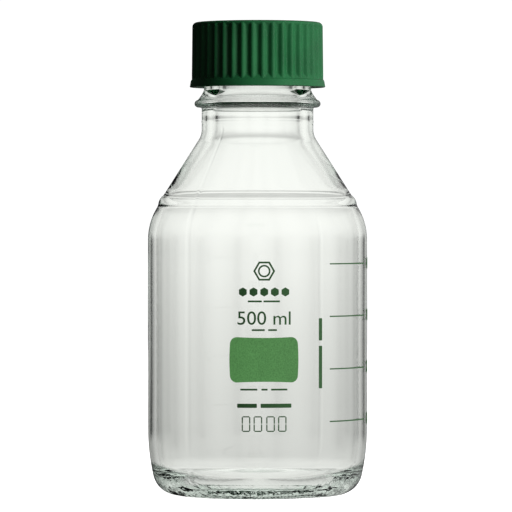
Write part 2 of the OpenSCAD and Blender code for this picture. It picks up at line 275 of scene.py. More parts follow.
def spun(name, outline, segments):
    """Turns an outline of (radius, height) points about the axis into a closed shell."""
    deselect()
    bpy.ops.mesh.primitive_circle_add(
        vertices=len(outline), radius=MM, fill_type="NOTHING", location=(0, 0, 0)
    )
    piece = bpy.context.object
    piece.name = piece.data.name = name
    for vertex, (r, z) in zip(piece.data.vertices, outline):
        vertex.co = (r, 0, z)
    with editing():
        bpy.ops.mesh.select_mode(type="EDGE")
        bpy.ops.mesh.select_all(action="DESELECT")
    for edge in piece.data.edges:
        edge.select = all(piece.data.vertices[i].co.x < AXIS_POLE for i in edge.vertices)
    with editing():
        bpy.ops.mesh.delete(type="EDGE")
    turned = piece.modifiers.new("turned", "SCREW")
    turned.steps = turned.render_steps = segments
    turned.use_merge_vertices = True
    turned.merge_threshold = MERGE
    bpy.ops.object.modifier_apply(modifier="turned")
    with editing():
        bpy.ops.mesh.select_mode(type="VERT")
        bpy.ops.mesh.select_all(action="SELECT")
        bpy.ops.mesh.remove_doubles(threshold=MERGE)
        bpy.ops.mesh.normals_make_consistent(inside=False)
    return piece


def push(piece, chosen, distance):
    """Moves the chosen vertices along their normals."""
    only(piece)
    with editing():
        bpy.ops.mesh.select_all(action="DESELECT")
    for vertex in piece.data.vertices:
        vertex.select = chosen(vertex)
    with editing():
        bpy.ops.mesh.select_mode(type="VERT")
        bpy.ops.transform.shrink_fatten(value=distance)


def angle_of(point):
    """Angle of a point about the axis, from 0 to a full turn."""
    return math.atan2(point.y, point.x) % math.tau


def front_angle(point):
    """Angle of a point from the front, positive towards +X."""
    return math.atan2(point.x, -point.y)


def ease(value):
    """0 to 1 with a soft start and end."""
    value = min(1, max(0, value))
    return value * value * (3 - 2 * value)


def thread_height(point, thread, start_z, turns, root_w, crest_w):
    """How far a thread stands out at a point on its wall, from 0 to 1."""
    share = ((angle_of(point) - thread.start) % math.tau) / math.tau
    along = (point.z - start_z) / thread.pitch
    whole = round(along - share)
    place = whole + share
    if not 0 <= place <= turns:
        return 0
    off = abs(along - place) * thread.pitch
    side = ease((root_w / 2 - off) / (root_w / 2 - crest_w / 2))
    fade = thread.fade / math.tau
    return side * ease(place / fade) * ease((turns - place) / fade)


def glass_heights(g):
    """Heights and radii up the glass, each from the one below."""
    p = SimpleNamespace()
    p.heel_turn = math.asin((g.draw_start - g.heel_r) / (g.draw_r - g.heel_r))
    p.heel_c = BODY_R - g.draw_r + (g.draw_r - g.heel_r) * math.cos(p.heel_turn)
    p.bearing_in = p.heel_c - g.bearing_w
    p.band_z = g.body_top + g.corner_r * math.sin(g.corner_turn)
    p.band_r = BODY_R - g.corner_r * (1 - math.cos(g.corner_turn))
    p.band_top = p.band_z + g.band_h
    crown_turn = QUARTER - g.shoulder_turn
    p.crown_z = p.band_top - g.band_round * math.tan(crown_turn / 2)
    p.fillet_r = g.neck_r + g.neck_fillet * (1 - math.cos(g.shoulder_turn))
    rise = (p.band_r - p.fillet_r) / math.tan(g.shoulder_turn)
    p.fillet_z = p.band_top + rise
    p.neck_z = p.fillet_z + g.neck_fillet * math.sin(g.shoulder_turn)
    p.bead_z = p.neck_z + g.neck_len
    p.nose_z = p.bead_z + g.bead_nose_r
    p.bead_top = p.nose_z + g.bead_nose_r + g.bead_slope_h
    return p


def glass_outline(g, thread):
    """Section of the glass: up the outside from the middle of the base, then down the inside."""
    p = glass_heights(g)
    dome_r = (p.bearing_in ** 2 + g.push_up ** 2) / (2 * g.push_up)
    dome_turn = math.asin(p.bearing_in / dome_r)
    outside = arc(0, g.push_up - dome_r, dome_r, QUARTER, QUARTER - dome_turn, 8)
    outside += [(p.bearing_in + g.bearing_w * i / RING_ROWS, 0) for i in range(1, RING_ROWS)]
    outside += arc(p.heel_c, g.heel_r, g.heel_r, -QUARTER, -g.stipple_turn, HEEL_ROWS)
    outside += arc(p.heel_c, g.heel_r, g.heel_r, -g.stipple_turn, -p.heel_turn, 3)[1:]
    outside += arc(BODY_R - g.draw_r, g.draw_start, g.draw_r, -p.heel_turn, 0, 8)[1:]
    outside += levels(BODY_R, g.draw_start, g.body_top, 12 * MM)[1:]
    short = math.radians(3.6)
    outside += arc(BODY_R - g.corner_r, g.body_top, g.corner_r, 0, g.corner_turn - short, 14)[1:]
    start_r, start_z = outside[-1]
    crown = arc(p.band_r - g.band_round, p.crown_z, g.band_round, math.radians(14),
                QUARTER - g.shoulder_turn, 8)
    for i in range(1, 6):
        t = i / 6
        at_r = (1 - t) ** 2 * start_r + 2 * t * (1 - t) * p.band_r + t * t * crown[0][0]
        at_z = (1 - t) ** 2 * start_z + 2 * t * (1 - t) * p.band_z + t * t * crown[0][1]
        outside.append((at_r, at_z))
    outside += crown
    top_r, top_z = outside[-1]
    outside += [
        (top_r + (p.fillet_r - top_r) * i / 8, top_z + (p.fillet_z - top_z) * i / 8)
        for i in range(1, 8)
    ]
    outside += arc(g.neck_r + g.neck_fillet, p.neck_z, g.neck_fillet,
                   math.pi + g.shoulder_turn, math.pi, 9)
    line_z = p.neck_z + g.neck_line_up
    half_line = g.neck_line_w / 2
    under_bead = p.bead_z - g.bead_fillet
    outside += levels(g.neck_r, p.neck_z, line_z - half_line, 2.5 * MM)[1:]
    outside += [(g.neck_r + g.neck_line, line_z), (g.neck_r, line_z + half_line)]
    outside += levels(g.neck_r, line_z + half_line, under_bead, 2.5 * MM)[1:]
    outside += arc(g.neck_r + g.bead_fillet, under_bead, g.bead_fillet, math.pi, QUARTER, 4)[1:]
    nose_end = math.radians(66)
    outside += arc(g.bead_r - g.bead_nose_r, p.nose_z, g.bead_nose_r, -QUARTER, nose_end, 10)
    nose_r, nose_z = outside[-1]
    slope = ((0.16, 0.05), (0.34, 0.2), (0.55, 0.41), (0.76, 0.63), (0.93, 0.85), (1, 1))
    outside += [(nose_r + (g.root_r - nose_r) * inward, nose_z + (p.bead_top - nose_z) * up)
                for inward, up in slope]
    thread_low = RIM_Z - thread.drop - thread.glass_turns * thread.pitch - 1.6 * MM
    outside += [(g.root_r, thread_low)]
    outside += levels(g.root_r, thread_low, RIM_Z - g.rim_h - 0.8 * MM, 0.32 * MM)[1:]
    outside += [(g.rim_r, RIM_Z - g.rim_h), (g.rim_r, RIM_Z - g.snap_h - 0.3 * MM)]
    outside += arc(g.rim_r + g.snap_out - g.snap_h / 2, RIM_Z - g.snap_h / 2, g.snap_h / 2,
                   math.radians(-50), math.radians(70), 6)
    inside = arc(MOUTH_R + MM, RIM_Z - MM, MM, QUARTER, math.pi, 5)
    inside += levels(MOUTH_R, RIM_Z - 2 * MM, p.bead_top, 5 * MM)
    inner_neck = g.neck_r - g.neck_wall
    for i in range(1, 13):
        t = i / 12
        inside.append((MOUTH_R + (inner_neck - MOUTH_R) * ease(t),
                       p.bead_top + (p.bead_z - p.bead_top) * t))
    inside += levels(inner_neck, p.bead_z, p.neck_z, 2.5 * MM)[1:]
    inside += arc(g.neck_r + g.neck_fillet, p.neck_z, g.neck_fillet + g.neck_wall,
                  math.pi, math.pi + g.shoulder_turn, 12)[1:]
    low_r, low_z = inside[-1]
    crown = arc(p.band_r - g.band_round, p.crown_z, g.band_round - g.wall,
                QUARTER - g.shoulder_turn, 0, 1)[0]
    shoulder_end = (crown[0] - 4 * MM * math.sin(g.shoulder_turn),
                    crown[1] + 4 * MM * math.cos(g.shoulder_turn))
    inside += [
        (low_r + (shoulder_end[0] - low_r) * i / 8, low_z + (shoulder_end[1] - low_z) * i / 8)
        for i in range(1, 8)
    ]
    corner_start = g.corner_turn - math.radians(12)
    corner = arc(BODY_R - g.corner_r, g.body_top, g.corner_r - g.wall, corner_start, 0, 10)
    inside += blend(shoulder_end, g.shoulder_turn, corner[0], corner_start, 14)
    inside += corner[1:]
    inner_draw = g.draw_r - g.wall
    reach = inner_draw - g.inner_heel_r
    heel_turn = math.asin((g.draw_start - g.floor_t - g.inner_heel_r) / reach)
    floor_edge = BODY_R - g.draw_r + reach * math.cos(heel_turn)
    inside += levels(BODY_R - g.wall, g.body_top, g.draw_start, 5 * MM)[1:]
    inside += arc(BODY_R - g.draw_r, g.draw_start, inner_draw, 0, -heel_turn, 6)[1:]
    inside += arc(floor_edge, g.floor_t + g.inner_heel_r, g.inner_heel_r,
                  -heel_turn, -QUARTER, 14)[1:]
    inside += [(floor_edge * (1 - i / 6), g.floor_t + g.push_up * ease(i / 6))
               for i in range(1, 7)]
    return outside + inside


def finish_piece(piece, material, slot, body, *nodes):
    """Gives a piece its material and its body, and hides the CAD nodes that it stands for."""
    piece.data.materials.clear()
    piece.data.materials.append(material)
    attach(piece, body)
    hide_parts(*nodes)


def smooth(piece, degrees):
    """Shades a piece smooth, apart from edges sharper than an angle."""
    only(piece)
    bpy.ops.object.shade_smooth_by_angle(angle=math.radians(degrees))


def new_material(name):
    """An empty node material: its tree, its main shader and its output."""
    material = bpy.data.materials.new(name)
    material.use_nodes = True
    tree = material.node_tree
    return material, tree, tree.nodes["Principled BSDF"], tree.nodes["Material Output"]


def feed(tree, node, inputs):
    """Gives each input of a node a value or another node's output."""
    for place, value in inputs.items():
        if isinstance(value, bpy.types.NodeSocket):
            tree.links.new(value, node.inputs[place])
        else:
            node.inputs[place].default_value = value


def added(tree, kind, inputs, **settings):
    """A new node with its settings and its inputs."""
    node = tree.nodes.new("ShaderNode" + kind)
    for name, value in settings.items():
        setattr(node, name, value)
    feed(tree, node, inputs)
    return node


def pattern(tree, scale, detail=2, stretch=(1, 1, 1)):
    """A cloudy pattern on the object's own coordinates, from 0 to 1."""
    place = added(tree, "TexCoord", {}).outputs["Object"]
    place = added(tree, "Mapping", {"Vector": place, "Scale": stretch}).outputs["Vector"]
    inputs = {"Vector": place, "Scale": scale, "Detail": detail}
    return added(tree, "TexNoise", inputs).outputs["Fac"]


def spread(tree, value, low, high, to_low=0.0, to_high=1.0):
    """Maps a pattern's value from one range to another."""
    ends = {"From Min": low, "From Max": high, "To Min": to_low, "To Max": to_high}
    return added(tree, "MapRange", {"Value": value, **ends}).outputs["Result"]


def reckon(tree, operation, value, number):
    """Does a sum on another node's output."""
    return added(tree, "Math", {0: value, 1: number}, operation=operation).outputs["Value"]


def blend_colours(tree, share, first, second, kind="MIX"):
    """Mixes two colours by a share, each of the three a value or another node's output."""
    inputs = {0: share, 6: first, 7: second}
    return added(tree, "Mix", inputs, data_type="RGBA", blend_type=kind).outputs[2]


def shade(value, factor):
    """A colour made lighter or darker."""
    return (value[0] * factor, value[1] * factor, value[2] * factor, 1)


def bump(tree, shader, height, distance, strength=1.0):
    """Fine relief from a pattern."""
    inputs = {"Height": height, "Distance": distance, "Strength": strength}
    feed(tree, shader, {"Normal": added(tree, "Bump", inputs).outputs["Normal"]})


def glass_material(finishes):
    """Clear borosilicate glass: slightly uneven, faintly grey-green through its thickness."""
    material, tree, shader, output = new_material("clear_glass")
    streaks = pattern(tree, 22, 3, (1, 1, 0.25))
    feed(tree, shader, {
        "Base Color": WHITE,
        "Transmission Weight": 1,
        "IOR": 1.473,
        "Roughness": spread(tree, streaks, 0.45, 0.8, 0.0, 0.012),
    })
    bump(tree, shader, pattern(tree, 38, 2, (1, 1, 0.4)), 0.035 * MM)
    absorb = added(tree, "VolumeAbsorption", {"Color": tuple(finishes.glass), "Density": 14})
    feed(tree, output, {"Volume": absorb.outputs["Volume"]})
    return material


def moulded_plastic(name, base):
    """Satin moulded polypropylene: slight mottling and fine grain."""
    material, tree, shader, _ = new_material(name)
    mottle = pattern(tree, 90, 4)
    share = spread(tree, mottle, 0.3, 0.7)
    feed(tree, shader, {
        "Base Color": blend_colours(tree, share, shade(base, 0.86), shade(base, 1.14)),
        "Roughness": spread(tree, mottle, 0.3, 0.7, 0.34, 0.46),
        "Subsurface Weight": 0.05,
        "Subsurface Radius": (0.4, 1, 0.5),
        "Subsurface Scale": 0.6 * MM,
    })
    bump(tree, shader, pattern(tree, 2600, 2), 0.03 * MM, 0.6)
    return material


def enamel_material(name, base):
    """Fired enamel: opaque green with pinholes, a grainy surface and uneven cover."""
    if name in bpy.data.materials:
        return bpy.data.materials[name]
    material, tree, shader, _ = new_material(name)
    specks = pattern(tree, 2400, 3)
    share = spread(tree, specks, 0.3, 0.62)
    fine = blend_colours(tree, share, shade(base, 0.72), shade(base, 1.14))
    cover = spread(tree, pattern(tree, 140, 4), 0.3, 0.7, 0.85, 1.1)
    feed(tree, shader, {
        "Base Color": blend_colours(tree, 0.35, fine, cover, "MULTIPLY"),
        "Roughness": 0.5,
    })
    bump(tree, shader, specks, 0.05 * MM, 0.7)
    return material


def silicone_material(finishes):
    """Matt silicone rubber with a slight bloom."""
    material, tree, shader, _ = new_material("silicone")
    base = tuple(finishes.silicone)
    bloom = pattern(tree, 160, 5)
    share = spread(tree, bloom, 0.3, 0.75)
    feed(tree, shader, {
        "Base Color": blend_colours(tree, share, shade(base, 0.9), shade(base, 1.08)),
        "Roughness": spread(tree, bloom, 0.3, 0.7, 0.5, 0.7),
        "Subsurface Weight": 0.3,
        "Subsurface Scale": 1 * MM,
    })
    bump(tree, shader, bloom, 0.05 * MM, 0.5)
    return material


def facing_material(finishes):
    """Smooth white fluoropolymer, skived, so it has faint parallel lines."""
    material, tree, shader, _ = new_material("seal_face_plastic")
    base = tuple(finishes.facing)
    lines = pattern(tree, 500, 2, (1, 0.06, 1))
    share = spread(tree, lines, 0.3, 0.7)
    feed(tree, shader, {
        "Base Color": blend_colours(tree, share, shade(base, 0.93), shade(base, 1.05)),
        "Roughness": 0.3,
    })
    bump(tree, shader, lines, 0.04 * MM, 0.5)
    return material


class BOTTLE_OT_glass(bpy.types.Operator):
    """Turn the glass, then add its thread, stippled ring, mould lines and uneven wall"""

    bl_idname = "bottle.glass"
    bl_label = "Glass"

    def execute(self, context):
        g, thread = context.scene.bottle_glass, context.scene.bottle_thread
        piece = spun("glass_bottle_blown", glass_outline(g, thread), g.segments)
        start_z = RIM_Z - thread.drop - thread.glass_turns * thread.pitch
        for vertex in piece.data.vertices:
            place = vertex.co
            r = math.hypot(place.x, place.y)
            if abs(r - g.root_r) > ON_WALL or place.z < start_z - thread.glass_root_w:
                continue
            rise = thread_height(place, thread, start_z, thread.glass_turns,
                                 thread.glass_root_w, thread.glass_crest_w)
            k = (r + (g.crest_r - g.root_r) * rise) / r
            place.x *= k
            place.y *= k
        p = glass_heights(g)
        step = math.tau / g.segments
        row = (QUARTER - g.stipple_turn) * g.heel_r / HEEL_ROWS
        normals = [vertex.normal.copy() for vertex in piece.data.vertices]
        for vertex, normal in zip(piece.data.vertices, normals):
            place = vertex.co
            r = math.hypot(place.x, place.y)
            if normal.z > -0.15 or r < p.bearing_in + 0.3 * MM or place.z > 6 * MM:
                continue
            if r < p.heel_c - 0.1 * MM:
                line = round((r - p.heel_c) / (g.bearing_w / RING_ROWS))
            else:
                line = round(math.atan2(r - p.heel_c, g.heel_r - place.z) * g.heel_r / row)
            up = (line + round(angle_of(place) / step)) % 2
            lump = 0.75 + 0.5 * noise.noise(place * 700)
            fade = ease((g.stipple_top - place.z) / (1.5 * MM))
            vertex.co -= normal * g.stipple * fade * up * lump

        def on_seam(vertex):
            """The two mould lines, half a turn apart, up the outside."""
            place = vertex.co
            outward = vertex.normal.x * place.x + vertex.normal.y * place.y
            if outward <= 0 or not 6 * MM < place.z < p.neck_z:
                return False
            off = (front_angle(place) - g.seam_turn + step / 2) % math.pi
            return off < step

        push(piece, on_seam, g.seam)
        normals = [vertex.normal.copy() for vertex in piece.data.vertices]
        for vertex, normal in zip(piece.data.vertices, normals):
            place = vertex.co
            outward = normal.x * place.x + normal.y * place.y
            if outward >= 0 or not g.floor_t < place.z < p.neck_z:
                continue
            wave = noise.noise(Vector((place.x * 26, place.y * 26, place.z * 9)))
            wave += 0.15 * noise.noise(Vector((place.x * 60, place.y * 60, place.z * 25)))
            k = 1 + wave * g.waviness / math.hypot(place.x, place.y)
            place.x *= k
            place.y *= k
        smooth(piece, 60)
        finish_piece(piece, glass_material(context.scene.bottle_finishes), "clear_glass", "bottle",
                     "glass_bottle")
        return {"FINISHED"}


class BOTTLE_OT_pouring_ring(bpy.types.Operator):
    """Turn the drip-free ring that snaps over the rim"""

    bl_idname = "bottle.pouring_ring"
    bl_label = "Pouring ring"

    def execute(self, context):
        g = context.scene.bottle_glass
        gap = 0.15 * MM
        hook_r = g.rim_r + gap
        room_r = hook_r + g.snap_out
        room_z = RIM_Z - g.snap_h - 0.4 * MM
        shelf_z = RING_HIGH_Z - 0.6 * MM
        lip_r = RING_R - 0.4 * MM
        outline = [
            (hook_r, RING_LOW_Z), (RING_R, RING_LOW_Z), (RING_R, shelf_z - 0.4 * MM),
            (lip_r, shelf_z), (lip_r, RING_HIGH_Z), (lip_r - 0.5 * MM, RING_HIGH_Z),
            (lip_r - 1.2 * MM, RING_HIGH_Z - 0.25 * MM), (lip_r - 1.9 * MM, shelf_z),
            (MOUTH_R + 0.8 * MM, shelf_z), (MOUTH_R + 0.3 * MM, shelf_z - 0.5 * MM),
            (MOUTH_R + 0.3 * MM, RIM_Z + gap), (room_r, RIM_Z + gap), (room_r, room_z),
            (hook_r, room_z - 0.5 * MM), (hook_r, RING_LOW_Z),
        ]
        piece = spun("pouring_ring_moulded", outline, 160)
        only(piece)
        edges = piece.modifiers.new("edges", "BEVEL")
        edges.width = 0.1 * MM
        edges.segments = 2
        edges.limit_method = "ANGLE"
        bpy.ops.object.modifier_apply(modifier="edges")
        smooth(piece, 35)
        material = moulded_plastic("ring_plastic", tuple(context.scene.bottle_finishes.cap))
        finish_piece(piece, material, "green_plastic", "bottle", "pouring_ring")
        return {"FINISHED"}


class BOTTLE_OT_seal(bpy.types.Operator):
    """Turn the silicone disc and its hard facing"""

    bl_idname = "bottle.seal"
    bl_label = "Seal"

    def execute(self, context):
        finishes = context.scene.bottle_finishes
        thick = DISC_HIGH_Z - DISC_LOW_Z
        bulge = thick * 0.35
        disc = [(0, DISC_LOW_Z), (SEAL_R * 0.5, DISC_LOW_Z)]
        disc += arc(SEAL_R - bulge, DISC_LOW_Z + bulge, bulge, -QUARTER, 0, 4)
        disc += arc(SEAL_R - bulge, DISC_HIGH_Z - bulge, bulge, 0, QUARTER, 4)
        disc += [(SEAL_R * 0.5, DISC_HIGH_Z), (0, DISC_HIGH_Z)]
        piece = spun("seal_disc_rubber", disc, 128)
        smooth(piece, 50)
        finish_piece(piece, silicone_material(finishes), "silicone", "seal", "seal_disc")
        edge = 0.12 * MM
        press_r = RING_R - 0.9 * MM
        pressed_z = FACING_LOW_Z + 0.05 * MM
        facing = [
            (0, FACING_LOW_Z), (press_r - 1.4 * MM, FACING_LOW_Z),
            (press_r - 0.9 * MM, pressed_z), (press_r - 0.3 * MM, pressed_z),
            (press_r, FACING_LOW_Z), (SEAL_R - edge, FACING_LOW_Z), (SEAL_R, FACING_LOW_Z + edge),
            (SEAL_R, FACING_HIGH_Z - edge), (SEAL_R - edge, FACING_HIGH_Z), (0, FACING_HIGH_Z),
        ]
        piece = spun("seal_facing_skived", facing, 128)
        smooth(piece, 40)
        finish_piece(piece, facing_material(finishes), "seal_face_plastic", "seal", "seal_facing")
        return {"FINISHED"}


class BOTTLE_OT_cap(bpy.types.Operator):
    """Turn the cap, cut the grip grooves and raise the thread inside"""

    bl_idname = "bottle.cap"
    bl_label = "Cap"

    # How high the surface stands across one rib, from groove to groove
    rib_section = (0, 0.06, 0.27, 0.54, 0.79, 0.96, 1, 0.96, 0.79, 0.54, 0.27, 0.06)

    def outline(self, cap, g, thread):
        """Section of the cap: up the outside from the foot, then down the inside."""
        foot = CAP_FOOT_Z + cap.flange_h
        edge_z = CAP_TOP_Z - cap.edge_r
        top_r = cap.rib_r - cap.draft
        round_r = 0.35 * MM
        flange_top_r = cap.flange_r - cap.flange_taper
        bore = g.crest_r + thread.gap
        outside = [(bore + 0.9 * MM, CAP_FOOT_Z), (cap.flange_r - 0.3 * MM, CAP_FOOT_Z)]
        outside += [(cap.flange_r, CAP_FOOT_Z + 0.25 * MM),
                    (flange_top_r + 0.08 * MM, foot - 0.5 * MM)]
        outside += arc(flange_top_r - round_r, foot - round_r, round_r, 0.15, QUARTER, 4)
        outside += [(cap.rib_r + 0.1 * MM, foot), (cap.rib_r, foot + 0.1 * MM)]
        outside += [(cap.rib_r, foot + i * 0.3 * MM) for i in range(1, 8)]
        rows = 5
        low = foot + 2.4 * MM
        for i in range(rows + 1):
            t = i / rows
            outside.append((cap.rib_r - cap.draft * t, low + (edge_z - low) * t))
        outside += arc(top_r - cap.edge_r, edge_z, cap.edge_r, 0, QUARTER, 14)[1:]
        outside += [(top_r * 0.8, CAP_TOP_Z), (top_r * 0.4, CAP_TOP_Z), (0, CAP_TOP_Z)]
        ceiling = DISC_HIGH_Z + 0.08 * MM
        inside = [(0, ceiling), (bore * 0.5, ceiling), (bore - 0.5 * MM, ceiling)]
        inside += arc(bore - 0.5 * MM, ceiling - 0.5 * MM, 0.5 * MM, QUARTER, 0, 3)
        inside += levels(bore, ceiling - 1 * MM, CAP_FOOT_Z + 0.9 * MM, 0.36 * MM)
        return outside + inside + [outside[0]]

    def execute(self, context):
        scene = context.scene
        cap, g, thread = scene.bottle_cap, scene.bottle_glass, scene.bottle_thread
        across = len(self.rib_section)
        piece = spun("screw_cap_moulded", self.outline(cap, g, thread), cap.ribs * across)
        step = math.tau / (cap.ribs * across)
        foot = CAP_FOOT_Z + cap.flange_h
        run_out = 2 * MM
        top_start = CAP_TOP_Z - 2.2 * MM
        top_end = CAP_TOP_Z - 0.75 * MM
        bore = g.crest_r + thread.gap
        cap_start = RIM_Z - thread.drop - thread.glass_turns * thread.pitch - thread.under
        for vertex in piece.data.vertices:
            place = vertex.co
            r = math.hypot(place.x, place.y)
            if r > cap.rib_r - cap.draft - cap.edge_r and place.z > foot + 0.05 * MM:
                stand = self.rib_section[round(angle_of(place) / step) % across]
                low = 1 - (place.z - foot) / run_out
                high = (place.z - top_start) / (top_end - top_start)
                stand = max(stand, min(1, low), min(1, high))
                k = (r - cap.rib_depth * (1 - stand)) / r
            elif abs(r - bore) < ON_WALL:
                rise = thread_height(place, thread, cap_start, thread.cap_turns,
                                     thread.cap_root_w, thread.cap_crest_w)
                k = (r - (g.crest_r - g.root_r) * rise) / r
            else:
                continue
            place.x *= k
            place.y *= k
        smooth(piece, 50)
        material = moulded_plastic("cap_plastic", tuple(scene.bottle_finishes.cap))
        finish_piece(piece, material, "green_plastic", "cap", "screw_cap")
        return {"FINISHED"}


def bar(x, y, width, height, corner=0.0):
    """A flat bar, its corners cut or rounded, drawn about (x, y) in metres."""
    deselect()
    bpy.ops.mesh.primitive_plane_add(size=1, location=(x, y, 0))
    piece = bpy.context.object
    piece.scale = (width, height, 1)
    bpy.ops.object.transform_apply()
    if corner:
        with editing():
            bpy.ops.mesh.select_all(action="SELECT")
            bpy.ops.mesh.bevel(offset=corner, offset_type="OFFSET", segments=6, affect="VERTICES")
    return piece


def ring(x, y, radius, width, sides):
    """A flat ring with that many sides, or a flat disc if it has no width."""
    deselect()
    bpy.ops.mesh.primitive_circle_add(
        vertices=sides, radius=radius, fill_type="NGON", location=(x, y, 0)
    )
    piece = bpy.context.object
    bpy.ops.object.transform_apply()
    if width:
        with editing():
            bpy.ops.mesh.select_all(action="SELECT")
            bpy.ops.mesh.inset(thickness=width)
            bpy.ops.mesh.delete(type="FACE")
    return piece


def characters(text, x, y, height, width=None):
    """Flat characters of a given height, and width if one is stated, about (x, y)."""
    deselect()
    bpy.ops.object.text_add(location=(0, 0, 0))
    piece = bpy.context.object
    piece.data.body = text
    piece.data.align_x = "CENTER"
    piece.data.resolution_u = 6
    piece.data.offset = 0.004
    bpy.ops.object.convert(target="MESH")
    piece = bpy.context.object
    low = [min(v.co[i] for v in piece.data.vertices) for i in range(2)]
    high = [max(v.co[i] for v in piece.data.vertices) for i in range(2)]
    k_up = height / (high[1] - low[1])
    k_across = width / (high[0] - low[0]) if width else k_up
    piece.scale = (k_across, k_up, 1)
    piece.location = (x - (low[0] + high[0]) / 2 * k_across, y - (low[1] + high[1]) / 2 * k_up, 0)
    bpy.ops.object.transform_apply()
    return piece


def turned(pieces, degrees):
    """Turns flat pieces about (0, 0)."""
    deselect()
    for piece in pieces:
        piece.select_set(True)
        bpy.context.view_layer.objects.active = piece
        piece.rotation_euler.z = math.radians(degrees)
    bpy.ops.object.transform_apply()
    return pieces


def fired(context, node, pieces, angle, z):
    """Joins flat pieces, wraps them round the body at an angle and a height, and thickens them."""
    marks = context.scene.bottle_marks
    deselect()
    for piece in pieces:
        piece.select_set(True)
    bpy.context.view_layer.objects.active = pieces[0]
    if len(pieces) > 1:
        bpy.ops.object.join()
    mark = bpy.context.object
    mark.name = mark.data.name = node + "_enamel"
    low = min(v.co.x for v in mark.data.vertices)
    high = max(v.co.x for v in mark.data.vertices)
    cut = 1.1 * MM
    with editing():
        for i in range(1, int((high - low) / cut) + 1):
            bpy.ops.mesh.select_all(action="SELECT")
            bpy.ops.mesh.bisect(plane_co=(low + i * cut, 0, 0), plane_no=(1, 0, 0))
    for vertex in mark.data.vertices:
        x, y = vertex.co.x, vertex.co.y
        a = angle + x / BODY_R
        vertex.co = (MARK_R * math.sin(a), -MARK_R * math.cos(a), z + y)
    coat = mark.modifiers.new("coat", "SOLIDIFY")
    coat.thickness = marks.thickness
    coat.offset = 1
    only(mark)
    bpy.ops.object.modifier_apply(modifier="coat")
    smooth(mark, 20)
    finishes = context.scene.bottle_finishes
    if node == "writing_field":
        material = enamel_material("field_enamel", tuple(finishes.enamel))
    else:
        material = enamel_material("print_enamel", tuple(finishes.ink))
    finish_piece(mark, material, "green_enamel", "bottle", node)


def segment_zero(x, y, width, height, stroke):
    """A seven-segment zero whose six strokes don't quite meet."""
    gap = stroke * 0.6
    corner = stroke * 0.3
    half = (height - stroke) / 2
    pieces = [bar(x, y + at, width - stroke - gap, stroke, corner) for at in (-half, half)]
    for up in (-1, 1):
        for across in (-1, 1):
            at = x + across * (width - stroke) / 2
            pieces.append(bar(at, y + up * half / 2, stroke, half - gap, corner))
    return pieces


class BOTTLE_OT_column(bpy.types.Operator):
    """Print the column of marks on the front: emblem, capacity, writing field and code"""

    bl_idname = "bottle.column"
    bl_label = "Printed column"

    def execute(self, context):
        m = context.scene.bottle_marks
        a = m.column
        z = FIELD_Z
        field = bar(0, 0, m.field_w, m.field_h, m.field_corner)
        with editing():
            bpy.ops.mesh.select_all(action="SELECT")
            bpy.ops.mesh.subdivide(number_cuts=5)
        # The field's sides bow outwards a little
        for vertex in field.data.vertices:
            across = 2 * vertex.co.x / m.field_w
            up = 2 * vertex.co.y / m.field_h
            vertex.co.x *= 1 - 0.035 * up * up
            vertex.co.y *= 0.95 + 0.05 * across * across
        fired(context, "writing_field", [field], a, z)
        emblem = [ring(0, 0, 4.2 * MM, 0.7 * MM, 6), ring(0, 0, 2.4 * MM, 0.65 * MM, 40)]
        fired(context, "emblem", turned(emblem, 30), a, z + m.emblem_up)
        row = [ring(i * 4.1 * MM, 0, 1.75 * MM, 0, 6) for i in range(-2, 3)]
        fired(context, "emblem_row", row, a, z + m.row_up)
        text = characters("500 ml", 0, 0, 5.2 * MM, 20.6 * MM)
        fired(context, "capacity_mark", [text], a, z + m.capacity_up)
        # Each row's height, then the middle and the width of each dash in it
        rows = (
            (22.4, ((-3.6, 5.4), (2.9, 6.4))),
            (11.4, ((-2.3, 5.0), (3.2, 3.4))),
            (-11.4, ((-5.9, 6.6), (0.1, 2.4), (5.8, 6.4))),
        )
        dashes = [
            bar(x * MM, height * MM, width * MM, 0.7 * MM, 0.2 * MM)
            for height, row in rows for x, width in row
        ]
        fired(context, "caption_dashes", dashes, a, z)
        code = [bar(x * MM, 0, width * MM, 1.6 * MM, 0.3 * MM)
                for x, width in ((-6.6, 7.6), (4.6, 12))]
        for x in (-6.99, -2.43, 2.43, 6.99):
            code += segment_zero(x * MM, -7 * MM, 3.3 * MM, 6 * MM, 0.45 * MM)
        fired(context, "code_mark", code, a, z - m.code_down)
        return {"FINISHED"}


class BOTTLE_OT_graduation(bpy.types.Operator):
    """Print the graduation: lines, numerals and the upright legend"""

    bl_idname = "bottle.graduation"
    bl_label = "Graduation"

    def execute(self, context):
        m = context.scene.bottle_marks
        lines, numerals = [], []
        width = (m.line_to - m.line_from) * BODY_R
        for i in range(4):
            height = m.first_line + i * m.line_step
            lines.append(bar(0, height, width, m.line_t))
            numerals.append(characters(str(100 * (i + 1)), 0, height, 4.4 * MM))
        middle = (m.line_from + m.line_to) / 2
        fired(context, "graduation_lines", lines, middle, 0)
        fired(context, "graduation_numerals", numerals, m.numeral_turn, 0)
        legend = [bar(x * MM, 0, width * MM, 1.5 * MM, 0.3 * MM)
                  for x, width in ((-5.2, 16.4), (9.3, 8.6))]
        fired(context, "volume_legend", turned(legend, 90), m.legend_turn, FIELD_Z + m.legend_up)
        return {"FINISHED"}


def lamp(name, place, target, size, power):
    """A soft square lamp that faces a point and doesn't show in the glass."""
    deselect()
    bpy.ops.object.light_add(type="AREA", location=place)
    light = bpy.context.object
    light.name = name
    light.data.shape = "SQUARE"
    light.data.size = size
    light.data.energy = power
    light.rotation_euler = (Vector(target) - Vector(place)).to_track_quat("-Z", "Y").to_euler()
    light.visible_glossy = light.visible_transmission = False
    return light


def seen_by(piece, *rays):
    """Lets only some kinds of ray see a piece of the stage."""
    for kind in ("camera", "diffuse", "glossy", "transmission", "volume_scatter", "shadow"):
        setattr(piece, "visible_" + kind, kind in rays)


